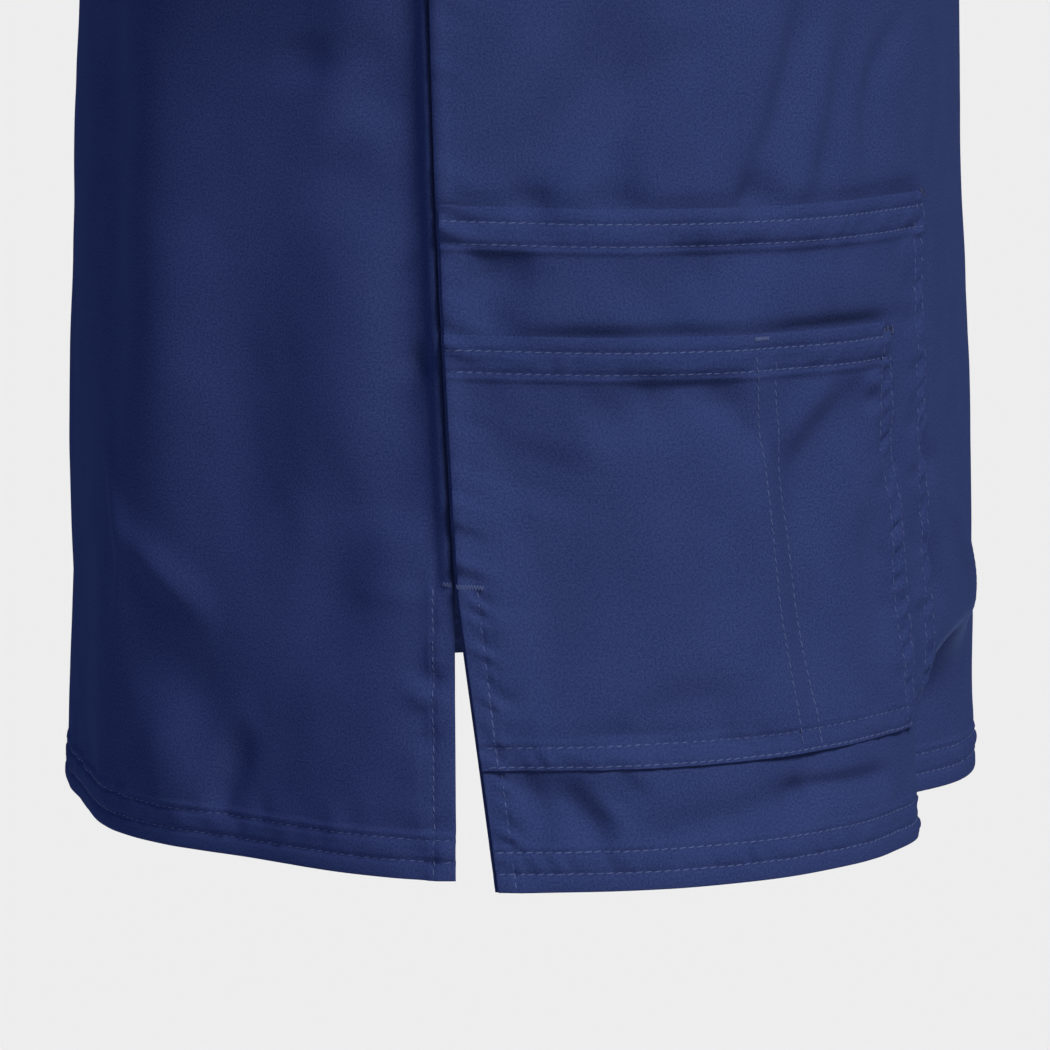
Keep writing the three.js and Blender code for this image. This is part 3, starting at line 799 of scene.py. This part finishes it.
# Armhole points from the underarm up the front and down the back, and a little further in on the cloth
def armholeLoop(side, fine):
    outerRows = []
    innerRows = []
    for face in ("front", "back"):
        beside, beyond = sleeveStyle["coarse"][face]
        rises, _ = risesOfRows(face, beside, np.linspace(0, 1, beyond + 1))
        last = len(rises) - 1
        rise = np.interp(np.linspace(0, last, last * fine + 1), np.arange(last + 1), rises)
        outerRows.append(armholePoint(face, side, rise))
        innerRows.append(armholePoint(face, side, rise, sleeveStyle["inset"]))
    arc = np.array(garment["seamGap"] / 2)
    for rows, height in ((outerRows, garment["underarm"]), (innerRows, garment["underarm"] - 28)):
        seam = [lowerPoints(face, side, arc, np.array(float(height)))[0] for face in ("front", "back")]
        rows[0][0] = rows[1][0] = (seam[0] + seam[1]) / 2
        rows[0][-1] = rows[1][-1] = (rows[0][-1] + rows[1][-1]) / 2
    outer = np.concatenate([outerRows[0], outerRows[1][::-1][1:-1]])
    inner = np.concatenate([innerRows[0], innerRows[1][::-1][1:-1]])
    frontCount = len(outerRows[0]) - 1
    backCount = len(outerRows[1]) - 1
    turns = np.concatenate([
        math.pi * (1 - np.arange(frontCount + 1) / frontCount),
        -math.pi * np.arange(1, backCount) / backCount,
    ])
    run = unit(np.roll(outer, -1, axis=0) - np.roll(outer, 1, axis=0))
    away = outer - inner
    away = unit(away - run * np.sum(away * run, axis=1, keepdims=True))
    return outer, away, turns


# Closed smooth curve through rows of values, with more rows between them
def roundCurve(values, fine):
    t = (np.arange(fine) / fine).reshape((1, fine) + (1,) * (values.ndim - 1))
    p0, p1, p2, p3 = (np.roll(values, shift, axis=0)[:, None] for shift in (1, 0, -1, -2))
    curve = p1 + 0.5 * t * (p2 - p0 + t * (2 * p0 - 5 * p1 + 4 * p2 - p3 + t * (3 * (p1 - p2) + p3 - p0)))
    return curve.reshape((-1,) + values.shape[1:])


def sleeveObject(name, side):
    style = sleeveStyle
    outer, inner, out = (np.array(style[key]) * (side, 1, 1) for key in ("outer", "inner", "start"))
    centre = (outer + inner) / 2
    reach = outer - centre
    hang = unit(np.array([-reach[2], 0, reach[0]])) * -side
    points, away, turns = armholeLoop(side, 1)
    high = ((1 + np.cos(turns)) / 2)[:, None]
    start = points + away * garment["seamGap"]
    end = centre + reach * np.cos(turns)[:, None]
    end[:, 1] -= style["halfDepth"] * np.sin(turns)
    pull = np.linalg.norm(end - start, axis=1, keepdims=True)
    leave = unit(away * (0.12 + 0.5 * high) + out * (0.88 - 0.5 * high)) * pull
    arrive = hang * pull
    t = np.linspace(0, 1, 101)[None, :, None]
    curves = (
        start[:, None] * (2 * t**3 - 3 * t**2 + 1) + leave[:, None] * (t**3 - 2 * t**2 + t)
        + end[:, None] * (3 * t**2 - 2 * t**3) + arrive[:, None] * (t**3 - t**2)
    )
    curves = roundCurve(curves, style["fine"])
    edge, edgeAway, turns = armholeLoop(side, style["fine"])
    curves = curves + (edge + edgeAway * garment["seamGap"] - curves[:, 0])[:, None] * (1 - t) ** 2
    rows = []
    fromHem = []
    near = spread(*style["fromHem"])
    for curve in curves:
        steps = np.linalg.norm(np.diff(curve[::-1], axis=0), axis=1)
        length = np.concatenate([[0], np.cumsum(steps)])
        far = near[-1] + (length[-1] - near[-1]) * np.arange(1, style["above"] + 1) / style["above"]
        at = np.concatenate([near, far])
        rows.append(np.stack([np.interp(at, length, curve[::-1][:, axis]) for axis in range(3)], axis=1))
        fromHem.append(at)
    grid = np.array(rows).transpose(1, 0, 2)
    distance = np.array(fromHem).T
    wrapped = np.concatenate([grid[:, -2:], grid, grid[:, :2]], axis=1)
    middle = grid.mean(axis=1, keepdims=True)
    normals = gridNormals(wrapped, wrapped - middle)[:, 2:-2]
    fromTop = distance[-1:] - distance
    round_ = measureRows(np.concatenate([grid, grid[:, :1]], axis=1))[:, :-1]
    seed = 85 + side
    x, y, z = np.moveaxis(grid, -1, 0)
    swirl = y * 1.4 + side * x * 0.8
    sizes = [(0, swirl, distance, style["wide"]), (2, swirl + 0.4 * z, distance, style["small"]),
             (4, swirl, fromTop, style["gathers"])]
    wide, small, gathers = [
        wobble(seed + more, across, up, *size[:2]) * size[2] for more, across, up, size in sizes]
    lift = (wide + small) * smooth(fromTop / 25) + bell(fromTop - 7, 6) * gathers
    lift = lift + sewnStrip(seed + 6, swirl, distance, hemStyle) - style["roll"] * bell(fromTop, rollWidth)
    lift = lift - creaseDepth("sleeve", turns * 57 + 6 * side, fromTop)
    fade = smooth(distance / 30) * 0.7 + 0.3
    raised = grid + normals * (lift * fade)[..., None]
    cloth = np.stack([round_, distance], axis=-1)
    # The seam allowance, tucked in under the panel's edge
    run = unit(np.roll(edge, -1, axis=0) - np.roll(edge, 1, axis=0))
    outward = unit(np.cross(run, edgeAway))
    outward = outward * np.sign(np.sum(outward * (edge - torsoCentre)))
    for inside, under in style["tucked"]:
        raised = np.concatenate([raised, (edge - edgeAway * inside - outward * under)[None]])
        normals = np.concatenate([normals, outward[None]])
        cloth = np.concatenate([cloth, cloth[-1:] + [0, 2]])
    closing = [np.concatenate([values, values[:, :1]], axis=1) for values in (raised, normals)]
    girth = measureRows(closing[0])[:, -1:, None]
    closedCloth = np.concatenate([cloth, cloth[:, :1] + [1, 0] * girth], axis=1)
    piece = clothObject(name, [(closing[0], closedCloth, closing[1])], garment["wall"])
    for row in hemStyle["rows"]:
        at = int(np.argmin(np.abs(near - row)))
        sew("sleeveRows", closing[0][at], closing[1][at])
    return piece


rightSleeve = sleeveObject("rightSleeveCloth", -1)
leftSleeve = sleeveObject("leftSleeveCloth", 1)


# Neck bands, in halves that meet in the middle: a mitre at the point of the V, a fold behind the neck.
# The first columns across are the seam allowance, tucked in under the panel's edge.
bandStyle = {
    "across": ([-0.13, 0, 0.16, 0.8, 1], [3, 5, 10, 5]), "tucked": 3, "wall": 1.5,
    "lift": 0.35, "roll": 0.9, "fold": 0.5, "row": 2, "sink": 0.25, "pucker": 0.18,
}
slant = math.atan2(neckEdge["halfWidth"], neckEdge["front"])
gap = garment["seamGap"]
bandGap = {
    "front": {"halfWidth": gap / math.cos(slant), "front": gap / math.sin(slant)},
    "back": {"halfWidth": gap, "back": gap},
}


def bandObject(name, face, alongCount):
    style = bandStyle
    starts = {key: neckEdge[key] - clear for key, clear in bandGap[face].items()}
    spans = {key: bandEdge[key] - neckEdge[key] + clear for key, clear in bandGap[face].items()}
    grids = []
    for side in (-1, 1):
        along = np.linspace(0, 1, alongCount + 1)
        lines = [{key: starts[key] + spans[key] * t for key in starts} for t in spread(*style["across"])]
        places = [neckPlace(face, line, along) for line in lines]
        points = np.stack([upperPoints(face, side, x, drop)[0] for x, drop in places], axis=1)
        normals = gridNormals(points, points - np.array([0, 10, -200]))
        normals[0, :, 0] = 0
        normals = unit(normals)
        width = measureRows(points)
        width = width - width[:, style["tucked"], None]
        length = measureRows(points.transpose(1, 0, 2)).T
        fromInner = width[:, -1:] - width
        puckers = wobble(91 + side, length, width, 5, 30) * bell(width - 5, 6) * style["pucker"]
        lift = style["lift"] - style["roll"] * bell(width, 1.2) - style["fold"] * bell(fromInner, 1)
        lift = lift - style["sink"] * bell(width - style["row"], 0.7)
        lift = np.where(width < 0, -0.8, lift) - 1.6 * smooth(-width / 1.4)
        lift = lift + (puckers - 0.35 * bell(length, 1)) * smooth(length / 3)
        lift = lift - 0.8 * bell(length[-1:] - length, 1.1)
        raised = points + normals * lift[..., None]
        grids.append((raised, np.stack([length * side, width], axis=-1), normals))
        sew("neckRows", *(acrossRows(grid, width, style["row"]) for grid in (raised, normals)))
    return clothObject(name, grids, style["wall"])


frontBand = bandObject("frontBandCloth", "front", 84)
backBand = bandObject("backBandCloth", "back", 44)
print("sleeves and bands made")


# Rows of sewing on the panels and their pockets
def onPocketOrPanel(side):
    ground = panelLift("front", side)
    raised = pocketLift(largePocket, side)

    def lift(arc, height):
        return np.where(arc < pocketWidth(largePocket, height), raised(arc, height), ground(arc, height))
    return lift


def mouthRow(name, style, side, distance, ends):
    arcs = np.linspace(*ends, 30)
    sewOnSkin(name, "front", side, pocketLift(style, side), arcs, pocketMouth(style, arcs) - distance)


for side in (-1, 1):
    rows = "frontRowsRight" if side < 0 else "frontRowsLeft"
    hemLift = onPocketOrPanel(side)
    largeLift = pocketLift(largePocket, side)
    backLift = panelLift("back", side)
    for height in hemStyle["rows"]:
        sewOnSkin(rows, "front", side, hemLift, (6.5, sectionTotal("front", height)), (height, height))
        backHeight = height + garment["backRise"]
        ends = (6, sectionTotal("back", backHeight))
        sewOnSkin("backRows", "back", side, backLift, ends, (backHeight, backHeight))
    sewOnSkin(rows, "front", side, hemLift, (11.9, 6.7), (1, 88))
    sewOnSkin("backRows", "back", side, backLift, (11.7, 6.7), (4, 88))
    for distance in pocketTop["rows"]:
        mouthRow(rows, largePocket, side, distance, (1, 183))
    for distance in pocketSide["rows"]:
        arc = largePocket["width"] - distance
        sewOnSkin(rows, "front", side, largeLift, (arc, arc), (1, 193))
    ventTop = pocketLift(smallPocket, side) if side < 0 else largeLift
    tackOnSkin(cornerNames, "front", side, largeLift, (178, 193), (183, 192.6), 3)
    tackOnSkin(["barTacks"], "front", side, ventTop, (0.8, 89), (8.5, 88.6), 1.6)
    tackOnSkin(["barTacks"], "back", side, backLift, (0.8, 89), (3.6, 89.2), 1.6)
    for half in (frontHalves[side], backHalves[side]):
        upper = half["points"][half["below"]:]
        upperNormals = half["normals"][half["below"]:]
        rowsToNeck = slice(half["joined"] - half["below"], None)
        fromSide, fromNeck = half["fromSide"], half["fromNeck"]
        sew("armholeRows", *(acrossRows(grid, fromSide, armhole["row"]) for grid in (upper, upperNormals)))
        neck = [grid[rowsToNeck][:, ::-1] for grid in (upper, upperNormals, fromNeck)]
        sew("neckRows", *(acrossRows(grid, neck[2], neckSeam["row"]) for grid in neck[:2]))

smallLift = pocketLift(smallPocket, -1)
for distance in pocketTop["rows"]:
    mouthRow("smallPocketRows", smallPocket, -1, distance, (1, 155 - 0.4 * distance))
for distance in pocketSide["rows"]:
    heights = np.linspace(36.5, 156, 24)
    arcs = pocketWidth(smallPocket, heights) - distance
    sewOnSkin("smallPocketRows", "front", -1, smallLift, arcs, heights)
smallRows = [
    ((6, 162.4), (36.4, 36.4)),
    ((6, 157), (42.1, 42.1)),
    ((93, 96, 99, 104), (153, 121, 80, 38)),
    ((101, 104.5, 107.5, 112.5), (151, 120, 82, 37)),
    ((9, 6.7), (37, 88)),
]
for arcs, heights in smallRows:
    sewOnSkin("smallPocketRows", "front", -1, smallLift, arcs, heights)
tackOnSkin(["barTacks"], "front", -1, smallLift, (92, 158), (98, 157.8), 1.4)
tackOnSkin(cornerNames, "front", -1, smallLift, (148, 155.5), (153.5, 154.8), 3)
print("stitches placed", {name: len(rows) for name, rows in stitches.items()})

stitchPieces = {name: stitchObject(name) for name in stitches}

# The cut that shows of each cloth piece, in metres, and its area
clothPieces = [
    (front, "front_panel", (0.566, 0.682), 0.313),
    (back, "back_panel", (0.548, 0.679), 0.303),
    (rightSleeve, "right_sleeve", (0.42, 0.23), 0.065),
    (leftSleeve, "left_sleeve", (0.42, 0.23), 0.065),
    (frontBand, "front_neck_band", (0.536, 0.024), 0.0121),
    (backBand, "back_neck_band", (0.286, 0.0257), 0.0072),
    (rightPocket, "right_pocket", (0.184, 0.199), 0.0362),
    (leftPocket, "left_pocket", (0.184, 0.199), 0.0362),
    (smallPocketCloth, "small_pocket", (0.1635, 0.1265), 0.02),
]


def calculator(nodes, links):
    def calculate(operation, first, second=None):
        node = nodes.new("ShaderNodeMath")
        node.operation = operation
        for socket, value in zip(node.inputs, (first, second)):
            if isinstance(value, (int, float)):
                socket.default_value = value
            elif value is not None:
                links.new(value, socket)
        return node.outputs["Value"]
    return calculate


def newMaterial(name, roughness, specular):
    material = bpy.data.materials.new(name)
    material.use_nodes = True
    shader = material.node_tree.nodes["Principled BSDF"]
    shader.inputs["Roughness"].default_value = roughness
    shader.inputs["Specular IOR Level"].default_value = specular
    return material, shader, material.node_tree.nodes, material.node_tree.links


def noiseFactor(nodes, links, place, scale, detail):
    noise = nodes.new("ShaderNodeTexNoise")
    noise.inputs["Scale"].default_value = scale
    noise.inputs["Detail"].default_value = detail
    links.new(place, noise.inputs["Vector"])
    return noise.outputs["Fac"]


def colourBetween(nodes, links, factor, dark, light, shader):
    mix = nodes.new("ShaderNodeMix")
    mix.data_type = "RGBA"
    links.new(factor, mix.inputs["Factor"])
    mix.inputs["A"].default_value = (*dark, 1)
    mix.inputs["B"].default_value = (*light, 1)
    links.new(mix.outputs["Result"], shader.inputs["Base Color"])


# ribPitch and bumpDepth are in metres, as the cloth's own coordinates are
twillStyle = {
    "dark": (0.0093, 0.0158, 0.062), "light": (0.0233, 0.0338, 0.102), "roughness": 0.8,
    "sheen": 0.06, "sheenRoughness": 0.3, "sheenTint": (0.3, 0.45, 1, 1),
    "ribPitch": 0.00062, "ribSlope": 0.8, "ribUneven": 0.0007, "ribs": 0.5, "yarns": 3,
    "weave": 0.75, "mottle": 0.35, "bump": 0.5, "bumpDepth": 0.00006,
}


def twillMaterial():
    style = twillStyle
    material, shader, nodes, links = newMaterial("navyTwill", style["roughness"], 0)
    calculate = calculator(nodes, links)
    shader.inputs["Sheen Weight"].default_value = style["sheen"]
    shader.inputs["Sheen Roughness"].default_value = style["sheenRoughness"]
    shader.inputs["Sheen Tint"].default_value = style["sheenTint"]
    place = nodes.new("ShaderNodeUVMap")
    place.uv_map = "cloth"
    cloth = place.outputs["UV"]
    split = nodes.new("ShaderNodeSeparateXYZ")
    links.new(cloth, split.inputs["Vector"])
    across, up = split.outputs["X"], split.outputs["Y"]
    slanted = calculate("ADD", across, calculate("MULTIPLY", up, style["ribSlope"]))
    uneven = calculate("MULTIPLY", noiseFactor(nodes, links, cloth, 900, 2), style["ribUneven"])
    turns = 2 * math.pi / style["ribPitch"]
    phase = calculate("MULTIPLY", calculate("ADD", slanted, uneven), turns)
    ribs = calculate("MULTIPLY", calculate("SINE", phase), style["ribs"])
    yarns = calculate("SUBTRACT", noiseFactor(nodes, links, cloth, 1500, 3), 0.5)
    weave = calculate("ADD", ribs, calculate("MULTIPLY", yarns, style["yarns"]))
    mottle = calculate("SUBTRACT", noiseFactor(nodes, links, cloth, 60, 4), 0.5)
    woven = calculate("MULTIPLY", weave, style["weave"])
    tone = calculate("ADD", woven, calculate("MULTIPLY", mottle, style["mottle"]))
    colourBetween(nodes, links, calculate("ADD", tone, 0.5), style["dark"], style["light"], shader)
    bump = nodes.new("ShaderNodeBump")
    bump.inputs["Strength"].default_value = style["bump"]
    bump.inputs["Distance"].default_value = style["bumpDepth"]
    links.new(weave, bump.inputs["Height"])
    links.new(bump.outputs["Normal"], shader.inputs["Normal"])
    return material


def threadMaterial(name, dark, light, scale):
    material, shader, nodes, links = newMaterial(name, 0.6, 0.2)
    place = nodes.new("ShaderNodeTexCoord").outputs["Object"]
    colourBetween(nodes, links, noiseFactor(nodes, links, place, scale, 2), dark, light, shader)
    return material


twill = twillMaterial()
thread = threadMaterial("navyThread", (0.016, 0.026, 0.085), (0.055, 0.074, 0.175), 500)
# Very dark thread with lighter bits for the pocket corners: painted shade of the hollow behind each corner
cornerShadeThread = threadMaterial("cornerShadeThread", (0.001, 0.003, 0.02), (0.012, 0.02, 0.07), 600)
for piece, node, flat, area in clothPieces:
    piece.data.materials.append(twill)
    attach(piece, "root")
    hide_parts(node)
for name, piece in stitchPieces.items():
    # The corner tacks take the very dark thread, painted shade of the hollow behind the pocket corner
    piece.data.materials.append(cornerShadeThread if name == "cornerShadeTacks" else thread)
    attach(piece, "root")

print("materials made")

stage = {"radius": 60, "level": -1.45, "colour": (0.62, 0.62, 0.63, 1), "world": (0.065, 0.08, 0.14, 1)}
level = Matrix.Translation((0, 0, stage["level"]))
bm = bmesh.new()
bmesh.ops.create_circle(bm, cap_ends=True, segments=96, radius=stage["radius"], matrix=level)
floor = addObject("floor", meshFrom(bm, "floor"))
paleFloor, paleShader, _, _ = newMaterial("paleFloor", 1, 0)
paleShader.inputs["Base Color"].default_value = stage["colour"]
floor.data.materials.append(paleFloor)

# The camera looks at the right side, turned towards the back and tipped down, both in degrees. pixels is
# its focal length in pixels of the photo, which is across pixels wide.
view = {"place": (-2.6984, -0.1887, -0.169), "turn": 4, "tip": 8.608, "pixels": 8783, "across": 1050}
camera = addObject("camera", bpy.data.cameras.new("camera"))
camera.location = view["place"]
turn, tip = math.radians(view["turn"]), math.radians(view["tip"])
look = Vector((math.cos(turn) * math.cos(tip), math.sin(turn) * math.cos(tip), -math.sin(tip)))
camera.rotation_euler = look.to_track_quat("-Z", "Y").to_euler()
camera.data.lens = 36 * view["pixels"] / view["across"]
camera.data.clip_end = 200
scene.camera = camera

# Soft suns: the key from the front right, and a weak blue one from behind
suns = {
    "keyLight": {
        "toward": (-0.668, -0.522, 0.83), "strength": 5.85, "spread": 20, "tint": (1, 0.975, 0.89),
    },
    "fillLight": {
        "toward": (-0.17, 0.95, 0.26), "strength": 0.7, "spread": 40, "tint": (0.05, 0.3, 1),
    },
}
for name, sun in suns.items():
    light = bpy.data.lights.new(name, "SUN")
    light.energy = sun["strength"]
    light.color = sun["tint"]
    light.angle = math.radians(sun["spread"])
    lamp = addObject(name, light)
    lamp.rotation_euler = (-Vector(sun["toward"])).to_track_quat("-Z", "Y").to_euler()
world = bpy.data.worlds.new("world")
scene.world = world
world.use_nodes = True
world.node_tree.nodes["Background"].inputs["Color"].default_value = stage["world"]
scene.view_settings.view_transform = "Standard"
